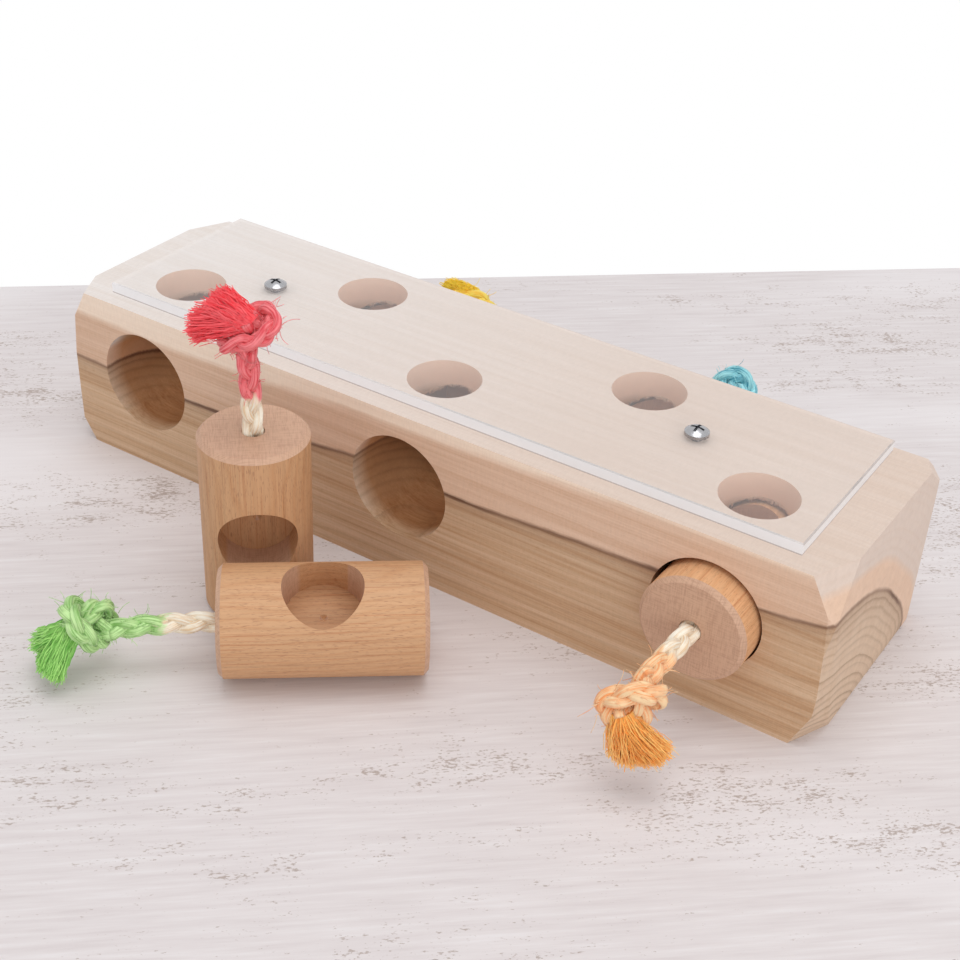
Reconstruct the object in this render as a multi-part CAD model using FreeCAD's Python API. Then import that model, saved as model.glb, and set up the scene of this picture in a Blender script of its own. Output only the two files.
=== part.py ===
"""Foraging toy for parrots: a drilled hardwood block under a clear cover plate, with five plugs on ropes.

Millimetres. The origin is the centre of the block's underside, +X runs along the block to the right,
-Y is its front and +Z is up. Three plugs sit in their bores, one stands and one lies in front.
"""
import FreeCAD
import Part

import math
import os

from FreeCAD import Placement, Rotation, Vector

# Block
BLOCK_LENGTH = 300.0
BLOCK_DEPTH = 84.0
BLOCK_HEIGHT = 62.0

# Bores, drilled in from the long sides, and the windows drilled down into them
BORE_DIAMETER = 37.5
BORE_DEPTH = 55.0
BORE_ROOF = 8.75            # wood left over a bore
WINDOW_DIAMETER = 25.0
WINDOW_INSET = 24.75        # from the block's side to the window's centre
SPUR_DIAMETER = 2.6         # mark of the drill's point at the bottom of a bore or cup
SPUR_DEPTH = 1.4
LEFT_BORE_INSET = 35.5      # from the block's left end to the first bore's centre
RIGHT_BORE_INSET = 40.0     # and from its right end to the last one's
# Share of the way from the first bore to the last, side it opens on (-1 front, 1 back), window's shift along X
POCKETS = {
    "left_front": (0.0, -1, 2.0),
    "left_back": (0.256, 1, 0.0),
    "middle_front": (0.499, -1, 0.5),
    "right_back": (0.7595, 1, 0.0),
    "right_front": (1.0, -1, 2.0),
}

# Cover plate
PLATE_THICKNESS = 4.0
PLATE_END_MARGIN = 16.0     # bare wood past the plate at each end of the block
PLATE_SIDE_MARGIN = 7.0     # and along each side
PLATE_EDGE_BREAK = 0.4
PLATE_HOLE_CLEARANCE = 0.3

# Screws, each midway between two bores
SCREW_HEAD_DIAMETER = 8.0
SCREW_HEAD_HEIGHT = 2.6
SCREW_HEAD_RIM = 1.1        # straight part of the head's side
SCREW_LENGTH = 25.0
SCREW_DIAMETER = 4.0
SCREW_POINT = 4.5
RECESS_SPAN = 4.6
RECESS_WIDTH = 0.9
RECESS_DEPTH = 1.5
PILOT_SPARE = 1.0           # pilot hole deeper than the screw
# The two pockets that each stands between, and how far off the midpoint it went in, in X and Y
SCREWS = {
    "left": ("left_front", "left_back", -0.25, -2.0),
    "right": ("right_back", "right_front", -1.0, 0.0),
}

# Plugs
PLUG_LENGTH = 64.0
PLUG_CLEARANCE = 1.0        # radial, in a bore
PLUG_SEAT_GAP = 0.1         # under a plug that lies in its bore
PLUG_END_GAP = 0.1          # to the bottom of the bore
PLUG_CHAMFER = 1.5
CUP_DEPTH = 17.0            # the cup is drilled with the window's cutter
ROPE_HOLE_DEPTH = 17.0
ROPE_HOLE_CLEARANCE = 0.15

# The two plugs in front of the block
STANDING_X = -31.1
STANDING_GAP = 19.75        # from the block's front to the standing plug
STANDING_CUP_HEADING = -48.6
LYING_HEADING = 37.855      # from +X to the lying plug's axis
LYING_SHIFT = 21.27         # along that axis, from beside the standing plug
LYING_GAP = 0.4             # between the two plugs
LYING_CUP_TILT = 17.0       # cup leans forward from straight up

# Ropes, with a stopper knot and a frayed tuft
ROPE_DIAMETER = 7.0
KNOT_DIAMETER = 20.0
KNOT_LENGTH = 16.0
KNOT_FACE_RADIUS = 5.5      # flat round face where the rope enters
ROPE_IN_KNOT = 4.0
BEND_SHARE = 0.45           # share of a rope's shorter run that its bend takes up
# Width and thickness of a tuft along its length: share of the length, half width, half thickness
TUFT_SECTIONS = [(0.20, 4.2, 4.2), (0.45, 5.0, 4.4), (0.72, 7.6, 5.0), (1.00, 9.6, 5.2)]
TUFT_SIDES = 16

# Bevels. A point of a flat bevel is given as insets from one corner of the block, in X, Y and Z.
# Corner (end, side, top 1 or bottom -1) and three points of the bevel
FACETS = [
    ((-1, -1, 1), (8.4, 0.0, 0.4), (3.4, 0.0, 9.6), (3.4, 10.0, 0.0)),
    ((-1, -1, 1), (2.1, 24.0, 0.0), (1.9, 60.0, 0.0), (0.0, 40.0, 14.0)),
    ((-1, -1, -1), (7.6, 0.0, 0.0), (2.3, 0.0, 7.9), (0.0, 14.0, 3.0)),
    ((-1, -1, -1), (1.2, 20.0, 0.0), (1.0, 60.0, 0.0), (0.0, 40.0, 7.0)),
    ((-1, 1, 1), (9.5, 4.4, 0.0), (3.2, 18.0, 0.0), (0.0, 10.0, 16.0)),
    ((-1, 1, -1), (6.0, 0.0, 0.0), (3.0, 0.0, 30.0), (0.0, 8.0, 10.0)),
    ((1, -1, 1), (8.8, 0.0, 0.8), (3.0, 0.0, 12.0), (1.5, 15.0, 1.5)),
    ((1, -1, 1), (1.7, 22.0, 0.0), (1.3, 70.0, 0.0), (0.0, 50.0, 16.0)),
    ((1, -1, -1), (7.4, 0.0, 0.6), (2.2, 0.0, 12.4), (0.6, 16.0, 0.0)),
    ((1, -1, -1), (0.9, 20.0, 0.0), (0.7, 60.0, 0.0), (0.0, 40.0, 6.0)),
    ((1, 1, 1), (5.0, 5.2, 0.0), (1.3, 12.0, 0.0), (1.0, 3.0, 7.0)),
    ((1, 1, -1), (1.8, 0.0, 10.0), (1.6, 0.0, 40.0), (0.0, 6.0, 20.0)),
    ((-1, 1, 1), (30.0, 5.6, 0.0), (30.0, 0.0, 5.4), (BLOCK_LENGTH - 30.0, 5.0, 0.0)),
]
# The front uprights are bevelled by hand, wider towards the foot: share of the height, inset in X, inset in Y
UPRIGHTS = {
    -1: [(0.0, 2.6, 9.0), (0.32, 1.8, 7.0), (0.58, 1.6, 5.0), (0.81, 2.8, 4.0), (1.0, 4.0, 4.0)],
    1: [(0.0, 3.4, 12.5), (0.32, 1.5, 8.0), (0.58, 2.0, 4.2), (0.81, 2.9, 2.2), (1.0, 3.6, 2.0)],
}
SPARE = 10.0                # how far a cutting tool stands out of what it cuts

# Worked out from the sizes above
BORE_RADIUS = BORE_DIAMETER / 2
BORE_Z = BLOCK_HEIGHT - BORE_ROOF - BORE_RADIUS
WINDOW_RADIUS = WINDOW_DIAMETER / 2
CUP_RADIUS = WINDOW_RADIUS
PLATE_TOP = BLOCK_HEIGHT + PLATE_THICKNESS
PLUG_RADIUS = BORE_RADIUS - PLUG_CLEARANCE
SEATED_Z = BORE_Z - PLUG_CLEARANCE + PLUG_SEAT_GAP
ROPE_RADIUS = ROPE_DIAMETER / 2
BLOCK_MIDDLE = Vector(0, 0, BLOCK_HEIGHT / 2)
UP = Vector(0, 0, 1)


def bore_centre(pocket):
    """Place along the block."""
    first = LEFT_BORE_INSET - BLOCK_LENGTH / 2
    last = BLOCK_LENGTH / 2 - RIGHT_BORE_INSET
    return first + POCKETS[pocket][0] * (last - first)


def seated(pocket):
    """Middle and outward direction of a plug pushed to the bottom of its bore."""
    side = POCKETS[pocket][1]
    middle_y = side * (BLOCK_DEPTH / 2 - BORE_DEPTH + PLUG_END_GAP + PLUG_LENGTH / 2)
    return Vector(bore_centre(pocket), middle_y, SEATED_Z), Vector(0, side, 0)


def standing():
    """Middle and cup direction of the plug that stands on its end."""
    middle = Vector(STANDING_X, -BLOCK_DEPTH / 2 - STANDING_GAP - PLUG_RADIUS, PLUG_LENGTH / 2)
    heading = math.radians(STANDING_CUP_HEADING)
    return middle, Vector(math.cos(heading), math.sin(heading), 0)


def lying():
    """Middle, rope direction and cup direction of the plug that lies against the standing one."""
    heading = math.radians(LYING_HEADING)
    along = Vector(math.cos(heading), math.sin(heading), 0)
    forward = Vector(math.sin(heading), -math.cos(heading), 0)
    beside = standing()[0]
    middle = beside + forward * (2 * PLUG_RADIUS + LYING_GAP) + along * LYING_SHIFT
    middle.z = PLUG_RADIUS
    tilt = math.radians(LYING_CUP_TILT)
    return middle, along * -1, UP * math.cos(tilt) + forward * math.sin(tilt)


# Each pull: plug's middle, direction of its rope end, direction of its cup, the knot's place from that end
# (along the plug, and off its axis in X, Y, Z), the tuft's tip from the knot, and the way the tuft fans out
PULLS = {
    "red": (standing()[0], UP, standing()[1], 35.5, (0.8, -0.6, 0.0), (-13.5, -5.5, 5.0), (0.1, 0.5, 0.8)),
    "green": (*lying(), 39.0, (0.0, 0.0, -0.9), (-7.6, -12.4, -10.6), (-0.8, 0.6, 0.0)),
    "orange": (*seated("right_front"), UP, 35.0, (0.3, 0.0, -5.2), (4.4, 2.0, -19.5), (0.9, 0.4, 0.0)),
    "yellow": (*seated("left_back"), UP, 36.0, (-0.6, 0.0, -3.8), (-13.5, -1.0, 5.0), (0.3, -0.2, 0.9)),
    "turquoise": (*seated("right_back"), UP, 39.5, (-0.6, 0.0, -4.2), (3.0, 12.5, -15.0), (0.9, -0.1, 0.2)),
}


def cylinder(start, direction, radius, length):
    return Part.makeCylinder(radius, length, start, direction)


def spur_mark(start, direction):
    """Cone that a drill's point leaves at the bottom of a flat hole."""
    return Part.makeCone(SPUR_DIAMETER / 2, 0, SPUR_DEPTH, start, direction)


def corner_point(corner, insets):
    """Point at the given insets from one corner of the block."""
    end, side, top = corner
    x = end * (BLOCK_LENGTH / 2 - insets[0])
    y = side * (BLOCK_DEPTH / 2 - insets[1])
    z = BLOCK_HEIGHT - insets[2] if top > 0 else insets[2]
    return Vector(x, y, z)


def outside_plane(points):
    """Large cutter on the far side, seen from the block's middle, of the plane through three points."""
    first, second, third = points
    normal = (second - first).cross(third - first).normalize()
    if normal.dot(first - BLOCK_MIDDLE) < 0:
        normal = normal * -1
    reach = 2 * BLOCK_LENGTH
    cutter = Part.makeBox(reach, reach, reach, Vector(-reach / 2, -reach / 2, 0))
    cutter.Placement = Placement(first, Rotation(UP, normal))
    return cutter


def flat_face(*corners):
    return Part.Face(Part.makePolygon([*corners, corners[0]]))


def upright_cutter(end, sections):
    """Wedge outside a front upright, whose bevel turns from one height to the next."""
    end_x = end * BLOCK_LENGTH / 2
    front_y = -BLOCK_DEPTH / 2
    outer_x = end_x + end * SPARE
    outer_y = front_y - SPARE
    heights = [share * BLOCK_HEIGHT for share, _, _ in sections]
    heights[0] -= SPARE
    heights[-1] += SPARE
    rings = []
    for height, (_, inset_x, inset_y) in zip(heights, sections):
        on_front = Vector(end_x - end * inset_x, front_y, height)
        on_end = Vector(end_x, front_y + inset_y, height)
        before_front = Vector(on_front.x, outer_y, height)
        beside_end = Vector(outer_x, on_end.y, height)
        rings.append([on_front, before_front, Vector(outer_x, outer_y, height), beside_end, on_end])
    faces = [flat_face(*rings[0]), flat_face(*rings[-1])]
    for lower, upper in zip(rings, rings[1:]):
        for side in range(4):
            faces.append(flat_face(lower[side], lower[side + 1], upper[side + 1], upper[side]))
        faces.append(flat_face(lower[4], lower[0], upper[4]))
        faces.append(flat_face(lower[0], upper[0], upper[4]))
    wedge = Part.Solid(Part.makeShell(faces))
    if wedge.Volume < 0:
        wedge.reverse()
    return wedge


def bore_cutter(pocket):
    side = POCKETS[pocket][1]
    mouth = Vector(bore_centre(pocket), side * (BLOCK_DEPTH / 2 + SPARE), BORE_Z)
    inward = Vector(0, -side, 0)
    bore = cylinder(mouth, inward, BORE_RADIUS, BORE_DEPTH + SPARE)
    bottom = mouth + inward * (BORE_DEPTH + SPARE)
    return bore.fuse(spur_mark(bottom, inward))


def window_cutter(pocket):
    _, side, shift = POCKETS[pocket]
    top = Vector(bore_centre(pocket) + shift, side * (BLOCK_DEPTH / 2 - WINDOW_INSET), BLOCK_HEIGHT + SPARE)
    return cylinder(top, UP * -1, WINDOW_RADIUS, top.z - BORE_Z)


def screw_spot(screw):
    left, right, off_x, off_y = SCREWS[screw]
    return (bore_centre(left) + bore_centre(right)) / 2 + off_x, off_y


def make_block():
    """Solid wood: bevelled box, five bores, a window into each, and a pilot hole for each screw."""
    corner = Vector(-BLOCK_LENGTH / 2, -BLOCK_DEPTH / 2, 0)
    block = Part.makeBox(BLOCK_LENGTH, BLOCK_DEPTH, BLOCK_HEIGHT, corner)
    for facet_corner, *insets in FACETS:
        block = block.cut(outside_plane([corner_point(facet_corner, inset) for inset in insets]))
    for end, sections in UPRIGHTS.items():
        block = block.cut(upright_cutter(end, sections))
    for pocket in POCKETS:
        block = block.cut(bore_cutter(pocket)).cut(window_cutter(pocket))
    for screw in SCREWS:
        x, y = screw_spot(screw)
        depth = SCREW_LENGTH - PLATE_THICKNESS + PILOT_SPARE
        block = block.cut(cylinder(Vector(x, y, BLOCK_HEIGHT - depth), UP, SCREW_DIAMETER / 2, depth + SPARE))
    return block


def make_cover_plate():
    """Clear sheet over the windows, its upper edges lightly broken, with a hole for each screw."""
    length = BLOCK_LENGTH - 2 * PLATE_END_MARGIN
    depth = BLOCK_DEPTH - 2 * PLATE_SIDE_MARGIN
    plate = Part.makeBox(length, depth, PLATE_THICKNESS, Vector(-length / 2, -depth / 2, BLOCK_HEIGHT))
    upper = [edge for edge in plate.Edges if edge.BoundBox.ZMin > PLATE_TOP - PLATE_EDGE_BREAK]
    plate = plate.makeChamfer(PLATE_EDGE_BREAK, upper)
    for screw in SCREWS:
        x, y = screw_spot(screw)
        radius = SCREW_DIAMETER / 2 + PLATE_HOLE_CLEARANCE
        plate = plate.cut(cylinder(Vector(x, y, BLOCK_HEIGHT - SPARE), UP, radius, PLATE_THICKNESS + 2 * SPARE))
    return plate


def make_screw(screw):
    """Pan-head screw with a cross recess, standing on the plate with its point in the wood."""
    x, y = screw_spot(screw)
    head_radius = SCREW_HEAD_DIAMETER / 2
    rise = SCREW_HEAD_HEIGHT - SCREW_HEAD_RIM
    dome = (head_radius ** 2 + rise ** 2) / (2 * rise)
    half_turn = math.asin(head_radius / dome) / 2
    rim = Vector(head_radius, 0, SCREW_HEAD_RIM)
    crown = Vector(0, 0, SCREW_HEAD_HEIGHT)
    shoulder = crown + Vector(dome * math.sin(half_turn), 0, dome * (math.cos(half_turn) - 1))
    outline = Part.Wire([
        Part.makeLine(Vector(0, 0, 0), Vector(head_radius, 0, 0)),
        Part.makeLine(Vector(head_radius, 0, 0), rim),
        Part.Arc(rim, shoulder, crown).toShape(),
        Part.makeLine(crown, Vector(0, 0, 0)),
    ])
    head = Part.Face(outline).revolve(Vector(), UP, 360)
    floor = SCREW_HEAD_HEIGHT - RECESS_DEPTH
    for turn in (0, 90):
        slot = Part.makeBox(RECESS_SPAN, RECESS_WIDTH, RECESS_DEPTH + SPARE,
                            Vector(-RECESS_SPAN / 2, -RECESS_WIDTH / 2, floor))
        slot.rotate(Vector(), UP, turn)
        head = head.cut(slot)
    straight = SCREW_LENGTH - SCREW_POINT
    shank = cylinder(Vector(), UP * -1, SCREW_DIAMETER / 2, straight)
    point = Part.makeCone(SCREW_DIAMETER / 2, 0, SCREW_POINT, UP * -straight, UP * -1)
    screw_shape = head.fuse([shank, point])
    screw_shape.translate(Vector(x, y, PLATE_TOP))
    return screw_shape


def make_plug(middle, rope_way, cup_way):
    """Turned plug, chamfered at both ends, with a cup across it and a blind hole for the rope."""
    end = middle - rope_way * (PLUG_LENGTH / 2)
    plug = cylinder(end, rope_way, PLUG_RADIUS, PLUG_LENGTH)
    rims = [edge for edge in plug.Edges if edge.Closed and not edge.isSeam(plug.Faces[0])]
    plug = plug.makeChamfer(PLUG_CHAMFER, rims)
    cup_floor = middle + cup_way * (PLUG_RADIUS - CUP_DEPTH)
    plug = plug.cut(cylinder(cup_floor, cup_way, CUP_RADIUS, CUP_DEPTH + SPARE))
    plug = plug.cut(spur_mark(cup_floor, cup_way * -1))
    hole_floor = middle + rope_way * (PLUG_LENGTH / 2 - ROPE_HOLE_DEPTH)
    hole_radius = ROPE_RADIUS + ROPE_HOLE_CLEARANCE
    return plug.cut(cylinder(hole_floor, rope_way, hole_radius, ROPE_HOLE_DEPTH + SPARE))


def knot_middle(pull):
    middle, rope_way, _, knot_along, knot_off, _, _ = pull
    return middle + rope_way * (PLUG_LENGTH / 2 + knot_along) + Vector(*knot_off)


def rope_route(pull):
    """Three points: bottom of the plug's hole, the bend outside it, and the rope's end inside the knot."""
    middle, rope_way, _, knot_along, *_ = pull
    start = middle + rope_way * (PLUG_LENGTH / 2 - ROPE_HOLE_DEPTH)
    reach = ROPE_HOLE_DEPTH + knot_along - KNOT_LENGTH / 2 + ROPE_IN_KNOT
    bend = start + rope_way * (reach / 2)
    onward = (knot_middle(pull) - bend).normalize()
    return start, bend, bend + onward * (reach / 2)


def make_rope(name, pull):
    """Round tube along two runs joined by one arc, as large as the runs allow."""
    start, bend, end = rope_route(pull)
    first = (bend - start).normalize()
    second = (end - bend).normalize()
    half_turn = first.getAngle(second) / 2
    tangent = BEND_SHARE * min((bend - start).Length, (end - bend).Length)
    radius = tangent / math.tan(half_turn)
    arc_start = bend - first * tangent
    arc_end = bend + second * tangent
    to_centre = (second - first).normalize()
    arc_middle = bend + to_centre * (radius / math.cos(half_turn) - radius)
    path = Part.Wire([
        Part.LineSegment(start, arc_start).toShape(),
        Part.Arc(arc_start, arc_middle, arc_end).toShape(),
        Part.LineSegment(arc_end, end).toShape(),
    ])
    section = Part.Wire(Part.makeCircle(ROPE_RADIUS, start, first))
    rope = path.makePipeShell([section], True, False)
    expected = math.pi * ROPE_RADIUS ** 2 * path.Length
    print(f"rope_{name}: length {path.Length:.2f}, bend radius {radius:.0f},"
          f" volume {rope.Volume:.1f} against section x length {expected:.1f}")
    return rope


def last_run(pull):
    """Rope's end inside the knot, and its direction there."""
    _, bend, end = rope_route(pull)
    return end, (end - bend).normalize()


def knot_form(pull):
    """Closed outer form of a stopper knot about the rope's last run."""
    half = KNOT_LENGTH / 2
    near = Vector(-half, 0, KNOT_FACE_RADIUS)
    far = Vector(half, 0, KNOT_FACE_RADIUS)
    outline = Part.Wire([
        Part.makeLine(Vector(-half, 0, 0), near),
        Part.Arc(near, Vector(0, 0, KNOT_DIAMETER / 2), far).toShape(),
        Part.makeLine(far, Vector(half, 0, 0)),
        Part.makeLine(Vector(half, 0, 0), Vector(-half, 0, 0)),
    ])
    knot = Part.Face(outline).revolve(Vector(), Vector(1, 0, 0), 360)
    knot.Placement = Placement(knot_middle(pull), Rotation(Vector(1, 0, 0), last_run(pull)[1]))
    return knot


def make_knot(pull):
    """Knot with the recess that the rope goes into."""
    end, onward = last_run(pull)
    mouth = end - onward * (ROPE_IN_KNOT + SPARE)
    return knot_form(pull).cut(cylinder(mouth, onward, ROPE_RADIUS, ROPE_IN_KNOT + SPARE))


def make_tuft(pull):
    """Closed outer form of the frayed end, fanning out from the knot's surface."""
    tip, fan = Vector(*pull[5]), Vector(*pull[6])
    middle = knot_middle(pull)
    onward = Vector(tip).normalize()
    thick_way = onward.cross(fan).normalize()
    wide_way = thick_way.cross(onward)
    sections = []
    for share, half_width, half_thickness in TUFT_SECTIONS:
        centre = middle + tip * share
        ring = []
        for side in range(TUFT_SIDES + 1):
            angle = 2 * math.pi * (side % TUFT_SIDES) / TUFT_SIDES
            offset = wide_way * (half_width * math.cos(angle)) + thick_way * (half_thickness * math.sin(angle))
            ring.append(centre + offset)
        sections.append(Part.makePolygon(ring))
    return Part.makeLoft(sections, True, True).cut(knot_form(pull))


def save(name, shape):
    """Write one piece, and stop if it isn't a single closed solid."""
    if shape.ShapeType != "Solid":
        solids = shape.Solids
        if len(solids) != 1:
            raise ValueError(f"{name} has {len(solids)} solids")
        shape = solids[0]
    if not shape.isValid():
        raise ValueError(f"{name} isn't valid")
    box = shape.BoundBox
    print(f"{name}: volume {shape.Volume:.0f}, z from {box.ZMin:.2f} to {box.ZMax:.2f}")
    shape.exportStep(f"parts/{name}.step")


def main():
    os.makedirs("parts", exist_ok=True)
    save("block", make_block())
    save("cover_plate", make_cover_plate())
    for screw in SCREWS:
        save(f"screw_{screw}", make_screw(screw))
    for name, pull in PULLS.items():
        save(f"plug_{name}", make_plug(*pull[:3]))
        save(f"rope_{name}", make_rope(name, pull))
        save(f"knot_{name}", make_knot(pull))
        save(f"tuft_{name}", make_tuft(pull))


main()
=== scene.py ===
# %% [markdown]
# A foraging toy for parrots: a drilled hardwood block under a clear cover plate, and five beech plugs on
# short dyed ropes. The rigid pieces come from the CAD model, which is loaded first. They could all be
# modelled here instead, but two models of one toy soon differ, and every piece made here can be placed by the
# CAD's own numbers. Lengths in this lesson are millimetres and are turned to metres at the end of each sum.

# %% The frame
import math
from functools import partial

import bpy
import numpy as np
from mathutils import Matrix, Vector


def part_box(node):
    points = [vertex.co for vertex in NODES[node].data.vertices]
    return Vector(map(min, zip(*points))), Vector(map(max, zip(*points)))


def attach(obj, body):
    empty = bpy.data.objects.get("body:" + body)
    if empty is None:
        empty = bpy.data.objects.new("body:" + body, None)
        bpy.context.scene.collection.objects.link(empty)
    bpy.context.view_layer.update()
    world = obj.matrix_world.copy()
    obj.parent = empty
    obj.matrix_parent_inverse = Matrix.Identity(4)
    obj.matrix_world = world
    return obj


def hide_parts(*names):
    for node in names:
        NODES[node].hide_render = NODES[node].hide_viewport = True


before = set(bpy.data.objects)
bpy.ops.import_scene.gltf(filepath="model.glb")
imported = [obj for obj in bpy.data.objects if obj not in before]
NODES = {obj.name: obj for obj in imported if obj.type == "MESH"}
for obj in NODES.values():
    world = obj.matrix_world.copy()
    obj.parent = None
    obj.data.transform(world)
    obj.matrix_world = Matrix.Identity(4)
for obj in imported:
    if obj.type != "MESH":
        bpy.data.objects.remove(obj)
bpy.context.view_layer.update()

MM = 0.001

# %% [markdown]
# The camera stands in front of the right end of the block, a little over half a metre away, and looks down on
# it with a longer lens. Its place and angles were worked out from the block's edges and the round windows, so
# that the picture has the same perspective. An aimed camera would do for a first look, but it can't hold the
# small roll that the picture has, so the rotation is built from three angles.

# %% Camera
CAMERA_PLACE = Vector((254.985, -403.364, 330.811)) * MM
CAMERA_YAW = math.radians(32.011)
CAMERA_PITCH = math.radians(33.398)
CAMERA_ROLL = math.radians(2.729)
FOCAL_LENGTH = 60.81
SENSOR_WIDTH = 36.0

level_right = Vector((math.cos(CAMERA_YAW), math.sin(CAMERA_YAW), 0))
ahead = Vector((-math.sin(CAMERA_YAW), math.cos(CAMERA_YAW), 0)) * math.cos(CAMERA_PITCH)
ahead.z = -math.sin(CAMERA_PITCH)
level_up = level_right.cross(ahead)
right = level_right * math.cos(CAMERA_ROLL) + level_up * math.sin(CAMERA_ROLL)
up = level_up * math.cos(CAMERA_ROLL) - level_right * math.sin(CAMERA_ROLL)

lens = bpy.data.cameras.new("camera")
lens.lens = FOCAL_LENGTH
lens.sensor_width = SENSOR_WIDTH
lens.clip_start = 0.01
camera = bpy.data.objects.new("camera", lens)
camera.matrix_world = Matrix.Translation(CAMERA_PLACE) @ Matrix((right, up, -ahead)).transposed().to_4x4()
bpy.context.scene.collection.objects.link(camera)
bpy.context.scene.camera = camera
bpy.context.scene.view_settings.view_transform = "Standard"
print("camera looks along", [round(value, 3) for value in ahead])

# %% [markdown]
# Colours are written as sRGB hex values, as a paint program shows them, and Blender's shaders want linear
# light, so one function turns the one into the other. Materials are trees of nodes. They could be put
# together by hand in the node editor, but a script makes the same ones each time. One more function adds a
# node with its settings and its links, which keeps a whole material short enough to read in one go. Inputs go
# by name or by number: in a MapRange, 1 and 2 are the range that it reads, and 3 and 4 the range that it
# gives.

# %% Colours and nodes
def colour(code):
    """Linear RGBA of an sRGB hex value."""
    parts = [int(code[place:place + 2], 16) / 255 for place in (0, 2, 4)]
    linear = [part / 12.92 if part <= 0.04045 else ((part + 0.055) / 1.055) ** 2.4 for part in parts]
    return (*linear, 1.0)


def node(tree, kind, inputs=(), stops=(), **settings):
    """Adds one node. An input is a number, a hex colour, a socket, or a node, whose first output in use is
    linked then. Stops fill a colour ramp."""
    made = tree.nodes.new("ShaderNode" + kind)
    for name, value in settings.items():
        setattr(made, name, value)
    for name, value in dict(inputs).items():
        named = [socket for socket in made.inputs if socket.name == name and socket.enabled]
        inlet = named[0] if named else made.inputs[name]
        if isinstance(value, bpy.types.Node):
            value = [socket for socket in value.outputs if socket.enabled][0]
        if isinstance(value, bpy.types.NodeSocket):
            tree.links.new(value, inlet)
        else:
            inlet.default_value = colour(value) if isinstance(value, str) else value
    ramp = made.color_ramp.elements if stops else []
    while len(ramp) < len(stops):
        ramp.new(0.5)
    for point, (place, value) in zip(ramp, stops):
        point.position = place
        point.color = colour(value) if isinstance(value, str) else (value, value, value, 1.0)
    return made


def new_material(name, shader_of):
    """A material whose surface is the shader that a function adds to its tree."""
    material = bpy.data.materials.new(name)
    material.use_nodes = True
    material.node_tree.nodes.clear()
    add = partial(node, material.node_tree)
    add("OutputMaterial", {"Surface": shader_of(add)})
    return material


def finish_node(name, material):
    """Gives a CAD node its material."""
    slots = NODES[name].data.materials
    slots.clear()
    slots.append(material)


print("hex 808080 is", round(colour("808080")[0], 3), "in linear light")

# %% [markdown]
# The toy was photographed on a whitewashed table under large soft lights, in front of a white wall. A
# modelled wall would throw light back at the toy. So a world that is white to the camera, to gloss and to
# glass gives that wall, and all other rays meet a plain pale grey sky. One soft box overhead gives the light
# its direction, and a weak one on the right keeps the front and the right end from going grey.

# %% World and lights
SKY_TONE = "F4F3F4"
SKY_LEVEL = 0.80
WALL_TONE = "FFFFFF"
AIM = Vector((0, -30, 20)) * MM

world = bpy.data.worlds.new("studio")
bpy.context.scene.world = world
world.use_nodes = True
world.node_tree.nodes.clear()
add = partial(node, world.node_tree)
path = add("LightPath")
seen = add("Math", {0: path.outputs["Is Camera Ray"], 1: path.outputs["Is Glossy Ray"]}, operation="ADD")
seen = add("Math", {0: seen, 1: path.outputs["Is Transmission Ray"]}, operation="ADD", use_clamp=True)
sky = add("Background", {"Color": SKY_TONE, "Strength": SKY_LEVEL})
wall = add("Background", {"Color": WALL_TONE, "Strength": 1.0})
add("OutputWorld", {"Surface": add("MixShader", {0: seen, 1: sky, 2: wall})})


def soft_box(name, place, size, watts):
    """A square area light that looks at the toy, with its side in metres."""
    data = bpy.data.lights.new(name, "AREA")
    data.energy = watts
    data.size = size
    lamp = bpy.data.objects.new(name, data)
    lamp.location = Vector(place) * MM
    lamp.rotation_euler = (AIM - lamp.location).to_track_quat("-Z", "Y").to_euler()
    bpy.context.scene.collection.objects.link(lamp)


soft_box("key", (120, -50, 1300), 0.8, 5.0)
soft_box("fill", (1100, -800, 330), 1.2, 5.2)
print("two soft boxes and a sky of strength", SKY_LEVEL)

# %% [markdown]
# The table is a whitewashed board. Its far edge shows behind the toy, so the board is a slab that ends there,
# turned to the picture's angle. Whitewash is thin: the grain of the wood comes through as faint grey lines,
# here and there the paint is thicker, and where it was rubbed off there are clouds of small grey-brown
# specks, longer than wide, that follow the grain. A picture of paint would repeat itself and blur close up,
# so noises of several sizes lie over each other.

# %% Whitewash
TABLE_HEADING = math.radians(40.6)
BOARD_TONES = [(0.25, "D2CACA"), (0.42, "DAD3D3"), (0.58, "DFD9D9"), (0.75, "E5E1E2")]
THICK_PAINT = "EAE6E7"
BARE_SPECK = "A39288"


def in_mm(add):
    """Place on the piece in millimetres."""
    return add("VectorMath", {0: add("TexCoord").outputs["Object"], "Scale": 1 / MM}, operation="SCALE")


def grains(add, place, size, detail=2.0, roughness=0.5):
    """A pattern of soft grains with this size along X, Y and Z, in the place's own unit."""
    scaled = add("Mapping", {"Vector": place, "Scale": [1 / side for side in size]})
    return add("TexNoise", {"Vector": scaled, "Scale": 1.0, "Detail": detail, "Roughness": roughness})


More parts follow.
